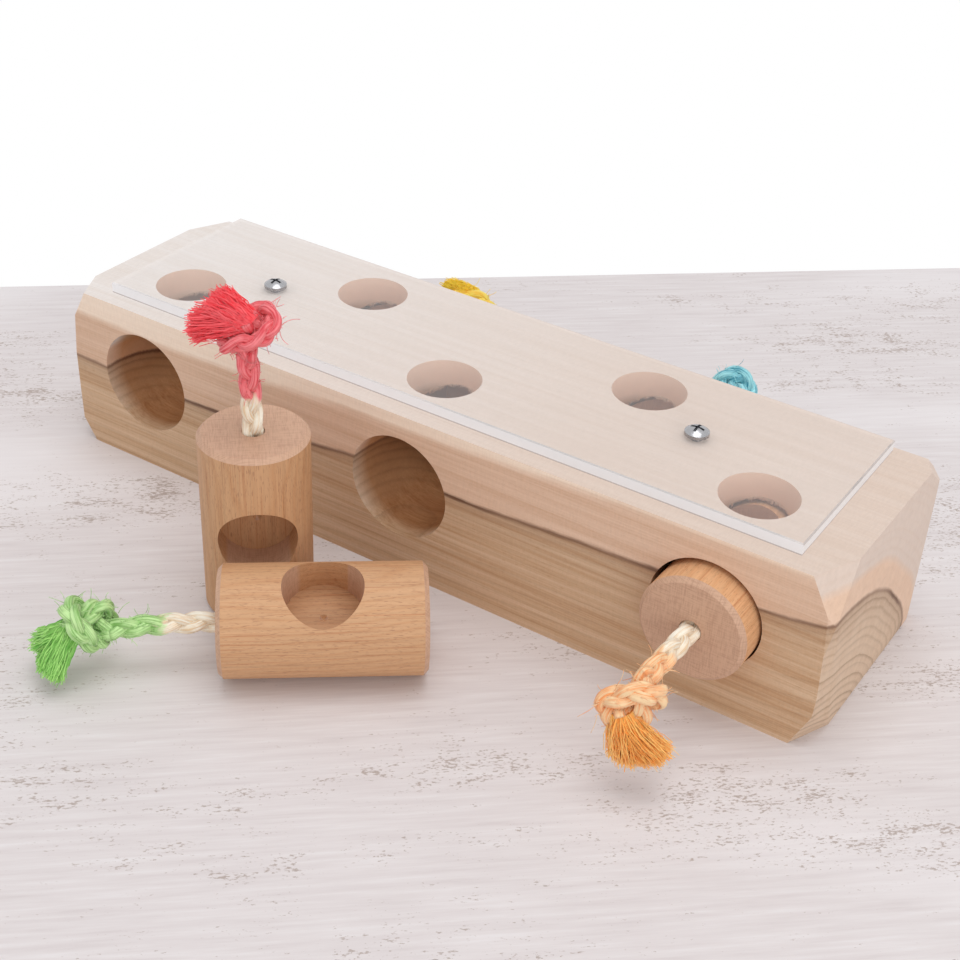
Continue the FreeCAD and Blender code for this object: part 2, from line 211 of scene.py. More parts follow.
def whitewash(add):
    """Thin white paint on a board: dull, with grain lines and rubbed specks."""
    place = add("Mapping", {"Vector": in_mm(add), "Rotation": (0, 0, -TABLE_HEADING)})
    grain = grains(add, place, (34, 2.2, 1), 5.0, 0.6)
    tone = add("ValToRGB", {0: grain}, BOARD_TONES)
    thick = add("MapRange", {0: grains(add, place, (190, 75, 1)), 1: 0.48, 2: 0.66, 3: 0.0, 4: 0.7})
    tone = add("Mix", {"Factor": thick, "A": tone, "B": THICK_PAINT}, data_type="RGBA")
    cloud = add("MapRange", {0: grains(add, place, (130, 38, 1)), 1: 0.44, 2: 0.64, 3: 0.69, 4: 0.53})
    patch = grains(add, place, (13, 5, 1), 3.0)
    speck = add("Math", {0: patch, 1: 0.55, 2: grains(add, place, (1.9, 0.8, 1), 3.0, 0.65)},
                operation="MULTIPLY_ADD")
    rubbed = add("Math", {0: speck, 1: cloud}, operation="SUBTRACT")
    rubbed = add("MapRange", {0: rubbed, 1: 0.278, 2: 0.36, 3: 0.0, 4: 0.75})
    tone = add("Mix", {"Factor": rubbed, "A": tone, "B": BARE_SPECK}, data_type="RGBA")
    bump = add("Bump", {"Height": grain, "Distance": 0.0003, "Strength": 0.2})
    return add("BsdfPrincipled", {"Base Color": tone, "Roughness": 0.7, "Normal": bump})


WHITEWASH = new_material("whitewashed_board", whitewash)
print("a table finish of", len(WHITEWASH.node_tree.nodes), "nodes")

# %% Table
TABLE_EDGE = Vector((-97.5, 167.6, 0.0))    # a point of the far edge
TABLE_SIZE = (2600.0, 1500.0, 18.0)

length, depth, thick = TABLE_SIZE
corners = [(x, y, z) for z in (0, -thick) for x, y in ((-length / 2, 0), (length / 2, 0),
                                                       (length / 2, -depth), (-length / 2, -depth))]
turn = Matrix.Rotation(TABLE_HEADING, 3, "Z")
mesh = bpy.data.meshes.new("table")
mesh.from_pydata([(turn @ Vector(corner) + TABLE_EDGE) * MM for corner in corners], [],
                 [(3, 2, 1, 0), (4, 5, 6, 7), (0, 1, 5, 4), (1, 2, 6, 5), (2, 3, 7, 6), (3, 0, 4, 7)])
mesh.materials.append(WHITEWASH)
table = bpy.data.objects.new("table", mesh)
bpy.context.scene.collection.objects.link(table)
print("table of", TABLE_SIZE, "mm")

# %% [markdown]
# The block is one piece of a two-tone hardwood such as ash, sawn so that its front shows the border between
# the pale sapwood and the browner heartwood. Growth rings are tubes round the tree's pith, so the pattern is
# a solid one: the distance from a pith line below the block decides the ring, and the front, the top, the
# ends and the insides of the bores all show the rings that they really cut. An image wrapped round the block
# couldn't do that at the edges. The tree leaned, so the pith rises towards the block's right end, by a curve.

# %% Growth rings
BLOCK_END, BLOCK_SIDE, BLOCK_TOP = [round(value / MM, 1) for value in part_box("block")[1]]
PITH_Y = -42.0            # pith line, along the block
PITH_Z = -47.8
RISE = 12.5
RISES = [(0.0, 0.03), (0.2, 0.0), (0.37, 0.24), (0.44, 0.35), (0.56, 0.40), (0.79, 0.63), (0.93, 0.79),
         (1.0, 1.0)]
HEART_RADIUS = 83.0       # heartwood lies inside it
RING = 3.1                # growth of one year


def from_pith(add, place):
    """Distance from the pith line in millimetres, with the waves of a tree that didn't grow quite round."""
    x, y, z = add("SeparateXYZ", {0: place}).outputs
    rise = add("FloatCurve", {"Value": add("MapRange", {0: x, 1: -BLOCK_END, 2: BLOCK_END})})
    bends = rise.mapping.curves[0].points
    for share, _ in RISES[1:-1]:
        bends.new(share, 0.5)
    for bend, spot in zip(bends, RISES):
        bend.location = spot
    rise.mapping.update()
    height = add("Math", {0: z, 1: -PITH_Z}, operation="ADD")
    height = add("Math", {0: rise, 1: -RISE, 2: height}, operation="MULTIPLY_ADD")
    aside = add("Math", {0: y, 1: -PITH_Y}, operation="ADD")
    off = add("VectorMath", {0: add("CombineXYZ", {1: aside, 2: height})}, operation="LENGTH")
    waves = grains(add, place, (71.43, 33.333, 33.333))
    waves = add("Math", {0: waves, 1: 5.0, 2: -2.5}, operation="MULTIPLY_ADD")
    ragged = grains(add, place, (5.0, 0.8, 0.8), 3.0)
    ragged = add("Math", {0: ragged, 1: 0.9, 2: waves}, operation="MULTIPLY_ADD")
    return add("Math", {0: off, 1: ragged}, operation="ADD")


print("rings", RING, "mm wide, heartwood up to", HEART_RADIUS, "mm from the pith")

# %% [markdown]
# Late wood closes each year with a dark line. Where a saw or a drill cut across the fibres, at the ends and
# at the sides of the bores, the line is strong, and on the long faces it is faint. The wood just inside the
# border is the darkest, just outside it there is a pinkish zone, and the outermost wood is nearly white. Two
# browns mixed by one noise would look like plastic, so each thing that the tree did is a layer of its own.

# %% Heart and sap
HEART_TONES = ("D3B596", "957A60")        # early and late wood
OUTER_HEART = "8C6A52"                    # just inside the border
SAWN_TONE = "D2BAA4"                      # early wood of the heart on the sawn ends
SAP_TONES = ("DFC0A8", "C29F85")
OUTER_TONES = ("E4DEDA", "D7C5B8")         # outermost wood, at the left end and at the right end
# Painted light: the front's upper edge is painted paler, as if lit like the top.
PAINTED_LIGHT_FRONT_EDGE_TONE = "F5E2CF"                       # the front's upper edge
BORDER_TONE = "6F503D"


def year_lines(add, radius, cut):
    """Late wood, from 0 to 1. Each year's line has its own strength, times how far the fibres are cut."""
    years = add("Math", {0: radius, 1: RING}, operation="DIVIDE")
    late = add("ValToRGB", {0: add("Math", {0: years}, operation="FRACT")},
               [(0.0, 0.6), (0.22, 0.0), (0.62, 0.1), (0.93, 1.0)])
    own = add("TexWhiteNoise", {"W": add("Math", {0: years}, operation="FLOOR")}, noise_dimensions="1D")
    own = add("MapRange", {0: own.outputs["Value"], 3: 0.2, 4: 1.0})
    own = add("Math", {0: own, 1: cut}, operation="MULTIPLY")
    return add("Math", {0: late, 1: own}, operation="MULTIPLY")


def heartwood(add, radius, late, sawn):
    """Brown wood with late lines, darkest just inside the border."""
    tone = add("Mix", {"Factor": sawn, "A": HEART_TONES[0], "B": SAWN_TONE}, data_type="RGBA")
    tone = add("Mix", {"Factor": late, "A": tone, "B": HEART_TONES[1]}, data_type="RGBA")
    outer = add("MapRange", {0: radius, 1: HEART_RADIUS - 12, 2: HEART_RADIUS})
    outer = add("ValToRGB", {0: outer}, [(0.0, 0.0), (0.6, 0.14), (0.85, 0.3), (1.0, 0.62)])
    return add("Mix", {"Factor": outer, "A": tone, "B": OUTER_HEART}, data_type="RGBA")


def near_bark(add, z, radius, facing):
    """Share of the outermost wood. It is wider on the ends and on top, and shows along the top edge."""
    ends = add("Math", {0: facing}, operation="ABSOLUTE")
    ends = add("MapRange", {0: ends, 1: 0.15, 2: 0.6, 3: 0.0, 4: 9.0})
    top = add("MapRange", {0: facing.outputs[2], 1: 0.3, 2: 0.8, 3: 0.0, 4: 14.0})
    bark = add("Math", {0: radius, 1: add("Math", {0: ends, 1: top}, operation="MAXIMUM")}, operation="ADD")
    bark = add("MapRange", {0: bark, 1: HEART_RADIUS + 17, 2: HEART_RADIUS + 20})
    edge = add("MapRange", {0: z, 1: BLOCK_TOP - 2.5, 2: BLOCK_TOP, 3: 0.0, 4: 0.8})
    return add("Math", {0: bark, 1: edge}, operation="MAXIMUM")


def sapwood(add, x, facing, late, bark):
    """Pinkish wood with faint late lines, the nearly white wood outside it, and painted light on the front.
    """
    along = add("MapRange", {0: x, 1: -BLOCK_END, 2: 60.0})
    outer = add("Mix", {"Factor": along, "A": OUTER_TONES[0], "B": OUTER_TONES[1]}, data_type="RGBA")
    # Painted light: outer wood on front-facing faces takes the paler tone of the front's upper edge.
    front = add("MapRange", {0: facing.outputs[1], 1: -0.7, 2: -0.9})
    outer = add("Mix", {"Factor": front, "A": outer, "B": PAINTED_LIGHT_FRONT_EDGE_TONE}, data_type="RGBA")
    tone = add("Mix", {"Factor": bark, "A": SAP_TONES[0], "B": outer}, data_type="RGBA")
    faint = add("Math", {0: late, 1: 0.2}, operation="MULTIPLY")
    return add("Mix", {"Factor": faint, "A": tone, "B": SAP_TONES[1]}, data_type="RGBA")


def border_line(add, place, radius):
    """The dark line between the two woods, which comes and goes along the block."""
    off = add("Math", {0: radius, 1: HEART_RADIUS}, operation="SUBTRACT")
    off = add("Math", {0: off}, operation="ABSOLUTE")
    strength = grains(add, place, (60, 30, 30), 1.0)
    strength = add("MapRange", {0: strength, 1: 0.35, 2: 0.65, 3: 0.4, 4: 1.0})
    return add("MapRange", {0: off, 1: 1.1, 2: 0.2, 3: 0.0, 4: strength})


print("border between the woods in", BORDER_TONE)

# %% [markdown]
# The fibres run along the block and show as fine streaks, broad bands and short dark pores, less so in the
# pale outer wood and on the sawn ends. An image of wood grain would stop where a drill went in; these
# patterns go on inside. The bores' walls are made darker and browner, and the windows' walls are painted
# paler, as painted light, since little light reaches into them. The real pores are 0.1 to 0.3 mm wide and
# would vanish at this distance, so they are drawn at the upper end of that.

# %% Ash
STREAK_TINT = "DFCDB9"
# Makes the bores' walls darker and browner
BORE_DARKENING_TINT = "DEBF9D"
# Painted light on the windows' walls
PAINTED_LIGHT_WINDOW_TONE = "F3D3BC"


def fibre_streaks(add, place, bark, inside, sawn):
    """Streaks, bands and pores together, calmer near the bark, in the sapwood and on the sawn ends."""
    streaks = add("MapRange", {0: grains(add, place, (45, 0.7, 0.7), 3.0), 1: 0.35, 2: 0.72, 3: 0.0, 4: 0.65})
    bands = add("MapRange", {0: grains(add, place, (300, 3.5, 3.5)), 1: 0.38, 2: 0.7, 3: 0.0, 4: 0.7})
    pores = add("MapRange", {0: grains(add, place, (2.4, 0.3, 0.3), 1.0), 1: 0.6, 2: 0.76, 3: 0.0, 4: 0.5})
    for other in (bands, pores):
        streaks = add("Math", {0: streaks, 1: other}, operation="ADD")
    calm = add("MapRange", {0: bark, 3: add("MapRange", {0: inside, 3: 0.6, 4: 0.9}), 4: 0.22})
    on_end = add("MapRange", {0: sawn, 1: 0.0, 2: 0.7, 3: 1.0, 4: 0.3})
    calm = add("Math", {0: calm, 1: on_end}, operation="MULTIPLY")
    return add("Math", {0: streaks, 1: calm}, operation="MULTIPLY")


def drilled_walls(add, x, y, z, facing):
    """Shares of the bores' walls, low in the block, and of the windows' walls above them."""
    deep, amid = (add("Math", {0: way}, operation="ABSOLUTE") for way in (y, x))
    deep = add("MapRange", {0: deep, 1: BLOCK_SIDE - 1, 2: BLOCK_SIDE - 8})
    amid = add("MapRange", {0: amid, 1: BLOCK_END - 12, 2: BLOCK_END - 18})
    low = add("MapRange", {0: z, 1: BLOCK_TOP - 4, 2: BLOCK_TOP - 12})
    high = add("MapRange", {0: z, 1: BLOCK_TOP - 11, 2: BLOCK_TOP - 8})
    upright = add("Math", {0: facing.outputs[2]}, operation="ABSOLUTE")
    windows = add("MapRange", {0: upright, 1: 0.3, 2: 0.1})
    bores = add("Math", {0: deep, 1: low}, operation="MULTIPLY")
    bores = add("Math", {0: bores, 1: amid}, operation="MULTIPLY")
    for share in (deep, high, amid):
        windows = add("Math", {0: windows, 1: share}, operation="MULTIPLY")
    return bores, windows


def ash(add):
    """Bare sanded ash: dull, with rings, fibre streaks, fine pores and saw marks."""
    place = in_mm(add)
    x, y, z = add("SeparateXYZ", {0: place}).outputs
    facing = add("SeparateXYZ", {0: add("NewGeometry").outputs["Normal"]})
    radius = from_pith(add, place)
    cut = add("Math", {0: facing}, operation="ABSOLUTE")
    cut = add("MapRange", {0: cut, 1: 0.25, 2: 0.8, 3: 0.2, 4: 0.66})
    sawn = add("MapRange", {0: cut, 1: 0.4, 2: 0.66, 3: 0.0, 4: 0.7})
    late = year_lines(add, radius, cut)
    bark = near_bark(add, z, radius, facing)
    inside = add("MapRange", {0: radius, 1: HEART_RADIUS + 0.4, 2: HEART_RADIUS - 0.4})
    tone = add("Mix", {"Factor": inside, "A": sapwood(add, x, facing, late, bark),
                       "B": heartwood(add, radius, late, sawn)}, data_type="RGBA")
    border = border_line(add, place, radius)
    tone = add("Mix", {"Factor": border, "A": tone, "B": BORDER_TONE}, data_type="RGBA")

    streaks = fibre_streaks(add, place, bark, inside, sawn)
    tone = add("Mix", {"Factor": streaks, "A": tone, "B": STREAK_TINT}, data_type="RGBA",
               blend_type="MULTIPLY")
    saw = add("MapRange", {0: grains(add, place, (0.6, 2.5, 2.5)), 1: 0.3, 2: 0.7, 3: 0.97, 4: 1.03})
    saw = add("Math", {0: saw, 1: 1.05}, operation="MULTIPLY")
    tone = add("VectorMath", {0: tone, "Scale": saw}, operation="SCALE")
    bores, windows = drilled_walls(add, x, y, z, facing)
    # The bores' walls are made darker and browner.
    tone = add("Mix", {"Factor": bores, "A": tone, "B": BORE_DARKENING_TINT}, data_type="RGBA",
               blend_type="MULTIPLY")
    # Painted light: the windows' walls are painted paler, since little light reaches into them.
    tone = add("Mix", {"Factor": windows, "A": tone, "B": PAINTED_LIGHT_WINDOW_TONE}, data_type="RGBA")

    height = add("Math", {0: late, 1: -0.4, 2: grains(add, place, (1.2, 0.3, 0.3))}, operation="MULTIPLY_ADD")
    bump = add("Bump", {"Height": height, "Distance": 0.0002, "Strength": 0.5})
    return add("BsdfPrincipled", {"Base Color": tone, "Roughness": 0.68, "IOR": 1.5, "Normal": bump})


ASH = new_material("two_tone_ash", ash)
finish_node("block", ASH)
print("block in", ASH.name)

# %% [markdown]
# The plugs are turned from beech rod. Each lies another way round, so each needs its own middle, the way that
# its rope end points, and the way that its cup opens. They could be read off the CAD meshes, but the CAD's
# numbers say it directly: three plugs are in their bores, one stands, and one lies rolled a little to the
# front.

# %% Plugs' places
PLUG_LENGTH = 64.0
SEATED_Y = 19.1
SEATED_Z = 33.6
LYING_HEADING = math.radians(37.855)
LYING_TILT = math.radians(17.0)
STANDING_CUP = math.radians(-48.6)
UP = Vector((0, 0, 1))

lying_along = Vector((math.cos(LYING_HEADING), math.sin(LYING_HEADING), 0))
lying_forward = Vector((math.sin(LYING_HEADING), -math.cos(LYING_HEADING), 0))
# Plug's middle, direction of its rope end, direction of its cup
PLUGS = {
    "red": (Vector((-31.1, -79.5, 32.0)), UP, Vector((math.cos(STANDING_CUP), math.sin(STANDING_CUP), 0))),
    "green": (Vector((7.725, -94.793, 17.75)), -lying_along,
              UP * math.cos(LYING_TILT) + lying_forward * math.sin(LYING_TILT)),
    "orange": (Vector((110.0, -SEATED_Y, SEATED_Z)), Vector((0, -1, 0)), UP),
    "yellow": (Vector((-57.028, SEATED_Y, SEATED_Z)), Vector((0, 1, 0)), UP),
    "turquoise": (Vector((56.008, SEATED_Y, SEATED_Z)), Vector((0, 1, 0)), UP),
}
print("plugs' middles:", {name: tuple(round(value, 1) for value in plug[0]) for name, plug in PLUGS.items()})

# %% [markdown]
# Beech is pinker than the block and full of short dark flecks, which are its rays cut across. Its ends were
# sawn, and show the crossed marks of the blade instead. One beech for all plugs would give five plugs with
# the same grain, so each gets a material of its own: three dot products turn a place on the plug into "along,
# towards the cup, across", and the pith lies elsewhere for each. The flecks are 0.1 mm wide on real beech,
# and are drawn at about 0.25 mm so that they show.

# %% Beech
BEECH_RING = 2.4
# Each plug's pith, by how far it is from the plug's axis towards the cup and across, and how pale the plug is
PITHS = {"red": (-30.0, 4.0, 1.0), "green": (-60.0, -45.0, 1.02), "orange": (-20.0, -52.0, 1.25),
         "yellow": (-46.0, 22.0, 1.1), "turquoise": (-38.0, -30.0, 1.05)}
BEECH_TONES = ("CC9F76", "C08B5F")        # early and late wood
RAY_TONE = "98674A"
VESSEL_TINT = "DDB79B"                    # thin brown lines along the grain
END_TONES = ("CEA78B", "BC947A")


def turned_side(add, moved, late, paleness):
    """The turned side: rings, ray flecks and thin lines along the plug. Gives the flecks too."""
    tone = add("Mix", {"Factor": late, "A": BEECH_TONES[0], "B": BEECH_TONES[1]}, data_type="RGBA")
    flecks = grains(add, moved, (2.2, 0.24, 0.24), 1.0)
    flecks = add("MapRange", {0: flecks, 1: 0.6, 2: 0.68, 3: 0.0, 4: 0.5})
    tone = add("Mix", {"Factor": flecks, "A": tone, "B": RAY_TONE}, data_type="RGBA")
    streaks = add("MapRange", {0: grains(add, moved, (40, 0.9, 0.9), 3.0), 1: 0.3, 2: 0.7,
                               3: 0.92 * paleness, 4: 1.05 * paleness})
    tone = add("VectorMath", {0: tone, "Scale": streaks}, operation="SCALE")
    lines = add("MapRange", {0: grains(add, moved, (26, 0.45, 0.45), 1.0), 1: 0.56, 2: 0.72, 3: 0.0, 4: 0.5})
    tone = add("Mix", {"Factor": lines, "A": tone, "B": VESSEL_TINT}, data_type="RGBA", blend_type="MULTIPLY")
    return tone, flecks


def sawn_end(add, moved):
    """The sawn end: fine marks of the blade, crossed by those of the sanding."""
    marks = [grains(add, moved, size) for size in ((5.0, 1 / 3.6, 5.0), (5.0, 4.0, 1 / 3.2))]
    marks = add("Math", {0: marks[0], 1: marks[1]}, operation="MULTIPLY")
    marks = add("MapRange", {0: marks, 1: 0.14, 2: 0.30})
    return add("Mix", {"Factor": marks, "A": END_TONES[1], "B": END_TONES[0]}, data_type="RGBA")


def beech(name):
    """Turned and sanded beech, bare: dull silk, dark ray flecks along it, saw marks on its ends."""
    middle, along, cup = PLUGS[name]
    pith_cup, pith_across, paleness = PITHS[name]

    def shader(add):
        place = add("VectorMath", {0: in_mm(add), 1: middle}, operation="SUBTRACT")
        turned = [add("VectorMath", {0: place, 1: way}, operation="DOT_PRODUCT")
                  for way in (along, cup, along.cross(cup))]
        own = add("CombineXYZ", dict(enumerate(turned)))
        moved = add("VectorMath", {0: own, 1: (7 * pith_cup, pith_across, 3 * pith_cup)})
        wander = add("Math", {0: grains(add, moved, (55, 16, 16)), 1: 9.0}, operation="MULTIPLY")
        sunk = add("Math", {0: turned[0], 1: 0.06, 2: turned[1]}, operation="MULTIPLY_ADD")
        sunk = add("Math", {0: sunk, 1: -pith_cup}, operation="ADD")
        aside = add("Math", {0: turned[2], 1: -pith_across}, operation="ADD")
        off = add("VectorMath", {0: add("CombineXYZ", {1: sunk, 2: aside})}, operation="LENGTH")
        radius = add("Math", {0: off, 1: wander}, operation="ADD")
        years = add("Math", {0: radius, 1: BEECH_RING}, operation="DIVIDE")
        late = add("ValToRGB", {0: add("Math", {0: years}, operation="FRACT")},
                   [(0.0, 0.7), (0.2, 0.0), (0.7, 0.15), (0.95, 1.0)])
        late = add("Math", {0: late, 1: 0.5}, operation="MULTIPLY")

        side, flecks = turned_side(add, moved, late, paleness)
        normal = add("NewGeometry").outputs["Normal"]
        facing = add("VectorMath", {0: normal, 1: along}, operation="DOT_PRODUCT")
        on_end = add("MapRange", {0: add("Math", {0: facing}, operation="ABSOLUTE"), 1: 0.55, 2: 0.66})
        tone = add("Mix", {"Factor": on_end, "A": side, "B": sawn_end(add, moved)}, data_type="RGBA")
        height = add("Math", {0: flecks, 1: -0.6, 2: grains(add, moved, (1.5, 0.3, 0.3))},
                     operation="MULTIPLY_ADD")
        bump = add("Bump", {"Height": height, "Distance": 0.00015, "Strength": 0.5})
        return add("BsdfPrincipled", {"Base Color": tone, "Roughness": 0.55, "IOR": 1.5, "Normal": bump})

    return new_material(f"turned_beech_{name}", shader)


for name in PLUGS:
    finish_node(f"plug_{name}", beech(name))
print(len(PLUGS), "plugs in turned beech")

# %% [markdown]
# The cover is cast acrylic sheet, 4 mm thick. Its faces are polished but a little dusty from handling, so the
# wood under it looks paler than the bare wood beside it. Its sawn edges are frosted, so they catch light and
# show as white bands; from inside the sheet they hardly show. A faint white film would show the same wood in
# a simpler way, but a clear solid with the plastic's own index of 1.49 also bends the view as the real one
# does. A path tracer lets little lamp light through such a solid, so every ray that only carries light to the
# wood sees no sheet at all. Only the top is dusty and mirrors the room: the underside lies on the wood, so it
# only bends the light.

# %% Cover plate
ACRYLIC_IOR = 1.49
DUST = 0.09               # share of the top face that scatters light
DUST_TONE = "F7F6F8"
FROST_TONE = "F6F5F6"
GLOW_TONE = "F3F5FA"      # light that comes through the frosted edge
# Painted shade: a grey line under the edge where the sheet sits, and one along the top of the end's edge.
SHADE_TONE = "A3968E"     # grey line under the edge, and along the top of the end's edge
PLATE_Z = [corner[2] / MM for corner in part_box("cover_plate")]


def polished_face(add, place, height, normal):
    """A dusty glossy top, and an underside that only bends light."""
    gloss = add("TexNoise", {"Vector": place, "Scale": 0.9, "Detail": 4.0})
    gloss = add("MapRange", {0: gloss, 1: 0.35, 2: 0.75, 3: 0.03, 4: 0.10})
    clear = add("BsdfPrincipled", {"Base Color": "FFFFFF", "Roughness": gloss, "IOR": ACRYLIC_IOR,
                                   "Transmission Weight": 1.0, "Normal": normal})
    dust = add("BsdfDiffuse", {"Color": DUST_TONE, "Normal": normal})
    top = add("MixShader", {0: DUST, 1: clear, 2: dust})
    seated = add("BsdfRefraction", {"Color": "FFFFFF", "Roughness": 0.0, "IOR": ACRYLIC_IOR,
                                    "Normal": normal})
    upper = add("Math", {0: height, 1: PLATE_Z[1] - 0.5}, operation="GREATER_THAN")
    return add("MixShader", {0: upper, 1: seated, 2: top})


def sawn_edge(add, place, height, toward_end):
    """A frosted edge that glows a little, with painted shade lines where it sits and atop its ends."""
    grain = add("TexNoise", {"Vector": place, "Scale": 3.0, "Detail": 2.0})
    bump = add("Bump", {"Height": grain, "Distance": 0.0001, "Strength": 0.4})
    frosted = add("BsdfPrincipled", {"Base Color": FROST_TONE, "Roughness": 0.35, "IOR": ACRYLIC_IOR,
                                     "Normal": bump})
    frosted = add("MixShader", {0: 0.35, 1: frosted, 2: add("BsdfTranslucent", {"Color": GLOW_TONE})})
    # Painted shade: a contact shadow under the edge, and a dark line along the top of the end's edge.
    painted_contact_shadow = add("MapRange", {0: height, 1: PLATE_Z[0] + 0.5, 2: PLATE_Z[0] + 0.2, 3: 0.0, 4: 0.7})
    painted_arris_shade = add("MapRange", {0: height, 1: PLATE_Z[1] - 0.9, 2: PLATE_Z[1] - 0.4})
    at_end = add("Math", {0: toward_end}, operation="ABSOLUTE")
    at_end = add("Math", {0: at_end, 1: 0.7}, operation="MULTIPLY")
    line = add("Math", {0: painted_arris_shade, 1: at_end}, operation="MULTIPLY")
    line = add("Math", {0: line, 1: painted_contact_shadow}, operation="MAXIMUM")
    return add("MixShader", {0: line, 1: frosted, 2: add("BsdfDiffuse", {"Color": SHADE_TONE})})


def acrylic(add):
    """Cast acrylic: clear and glossy, with dust and fine scratches on top and frosted edges."""
    place = in_mm(add)
    height = add("SeparateXYZ", {0: place}).outputs[2]
    shape = add("NewGeometry")
    normal = shape.outputs["True Normal"]
    toward_end, _, upward = add("SeparateXYZ", {0: normal}).outputs
    edge = add("MapRange", {0: add("Math", {0: upward}, operation="ABSOLUTE"), 1: 0.9, 2: 0.6})
    sheet = add("MixShader", {0: edge, 1: polished_face(add, place, height, normal),
                              2: sawn_edge(add, place, height, toward_end)})
    light = add("LightPath")
    hidden = add("Math", {0: light.outputs["Is Shadow Ray"], 1: light.outputs["Is Diffuse Ray"]},
                 operation="MAXIMUM")
    from_inside = add("Math", {0: shape.outputs["Backfacing"], 1: edge}, operation="MULTIPLY")
    hidden = add("Math", {0: hidden, 1: from_inside}, operation="MAXIMUM")
    return add("MixShader", {0: hidden, 1: sheet, 2: add("BsdfTransparent", {"Color": "FFFFFF"})})


finish_node("cover_plate", new_material("cast_acrylic", acrylic))
print("cover plate in cast acrylic, its top", round(PLATE_Z[1], 1), "mm up")

# %% [markdown]
# Two pan-head steel screws hold the cover. Their zinc is bright but pressed, so it isn't a mirror. A light
# grey plastic would show no surroundings; a metal shader does, and its roughness varies a little over the
# head.

# %% Screws
ZINC_TONE = "ABABAE"


def zinc(add):
    """Bright zinc on steel: a pressed screw head, a little uneven in gloss."""
    cloud = add("TexNoise", {"Vector": in_mm(add), "Scale": 1.4, "Detail": 4.0})
    gloss = add("MapRange", {0: cloud, 1: 0.3, 2: 0.7, 3: 0.16, 4: 0.32})
    bump = add("Bump", {"Height": cloud, "Distance": 0.0001, "Strength": 0.3})
    return add("BsdfPrincipled", {"Base Color": ZINC_TONE, "Metallic": 1.0, "Roughness": gloss,
                                  "Normal": bump})


ZINC = new_material("bright_zinc", zinc)
for side in ("left", "right"):
    finish_node(f"screw_{side}", ZINC)
print("two screws in", ZINC.name)

# %% [markdown]
# Each rope is a plait of three strands of sisal, 7 mm across. It comes straight out of its plug's blind hole,
# bends a little and goes into an overhand stopper knot. Blender's curves could carry it, but a knot has to be
# tied by sums, so a line here is an array of points in millimetres, and a few helpers come first.

# %% Lines
ROPE_HOLE_DEPTH = 17.0


def unit(vector):
    """The same way with length one."""
    vector = np.array(vector, float)
    return vector / np.linalg.norm(vector)


def units(vectors):
    """The same for each vector of an array."""
    return vectors / np.linalg.norm(vectors, axis=-1, keepdims=True)


def run_length(points):
    """Length of a line."""
    return float(np.linalg.norm(np.diff(points, axis=0), axis=1).sum())


def lengths_along(points):
    """Length of a line up to each of its points."""
    return np.concatenate([[0], np.cumsum(np.linalg.norm(np.diff(points, axis=0), axis=1))])


def evenly(points, count):
    """The same line with evenly spaced points."""
    done = lengths_along(points)
    wanted = np.linspace(0, done[-1], count)
    return np.stack([np.interp(wanted, done, points[:, axis]) for axis in range(3)], axis=1)


# How far the knot's middle is from the plug's end, and how far it lies off the plug's axis
KNOTS = {
    "red": (35.5, (0.8, -0.6, 0.0)),
    "green": (39.0, (0.0, 0.0, -0.9)),
    "orange": (35.0, (0.3, 0.0, -5.2)),
    "yellow": (36.0, (-0.6, 0.0, -3.8)),
    "turquoise": (39.5, (-0.6, 0.0, -4.2)),
}


def knot_middle(name):
    middle, along, _ = PLUGS[name]
    out, off = KNOTS[name]
    return np.array(middle + along * (PLUG_LENGTH / 2 + out) + Vector(off))


print("knots' middles:", {name: np.round(knot_middle(name), 1).tolist() for name in KNOTS})

# %% [markdown]
# The knot is a real overhand knot. Drawing one by hand is fiddly, so it is tied as on a bench: a loose knot
# is a known curve, and it is pulled tight step by step. Each step shortens the line a little, and then pushes
# apart all stretches that have come nearer than the rope's thickness. A few points are quick to pull tight,
# so the first rounds use few, and later rounds refine them.

# %% Tying a knot
KNOT_ROPE = 5.8           # distance between ropes in the knot, where they press into each other
HELD = 32.8               # both ends are held this far from the knot's middle
NEIGHBOURS = 1.3          # stretches nearer than this along the line, in thicknesses, may be close
PUSH = 1.2                # a push a little past the gap settles faster


def pushed_apart(line, passes=5):
    """Moves stretches apart that are nearer than the rope is thick. The two ends stay."""
    spacing = run_length(line) / (len(line) - 1)
    one, other = np.triu_indices(len(line), max(2, math.ceil(NEIGHBOURS * KNOT_ROPE / spacing)))
    for _ in range(passes):
        apart = line[other] - line[one]
        gap = np.linalg.norm(apart, axis=1)
        close = gap < KNOT_ROPE
        if not close.any():
            break
        push = apart[close] / np.maximum(gap[close], 1e-6)[:, None] * ((KNOT_ROPE - gap[close]) / 2)[:, None]
        moves, hits = np.zeros_like(line), np.zeros(len(line))
        for ends, way in ((one[close], -push), (other[close], push)):
            np.add.at(moves, ends, way)
            np.add.at(hits, ends, 1)
        moves /= np.maximum(hits, 1)[:, None]
        moves[0] = moves[-1] = 0
        line = line + PUSH * moves
    return line


def pulled(line, steps):
    """Shortens a line as far as its own thickness lets it."""
    first, last = line[0].copy(), line[-1].copy()
    for _ in range(steps):
        line[1:-1] += 0.4 * ((line[:-2] + line[2:]) / 2 - line[1:-1])
        line = evenly(pushed_apart(line), len(line))
        line[0], line[-1] = first, last
    return line


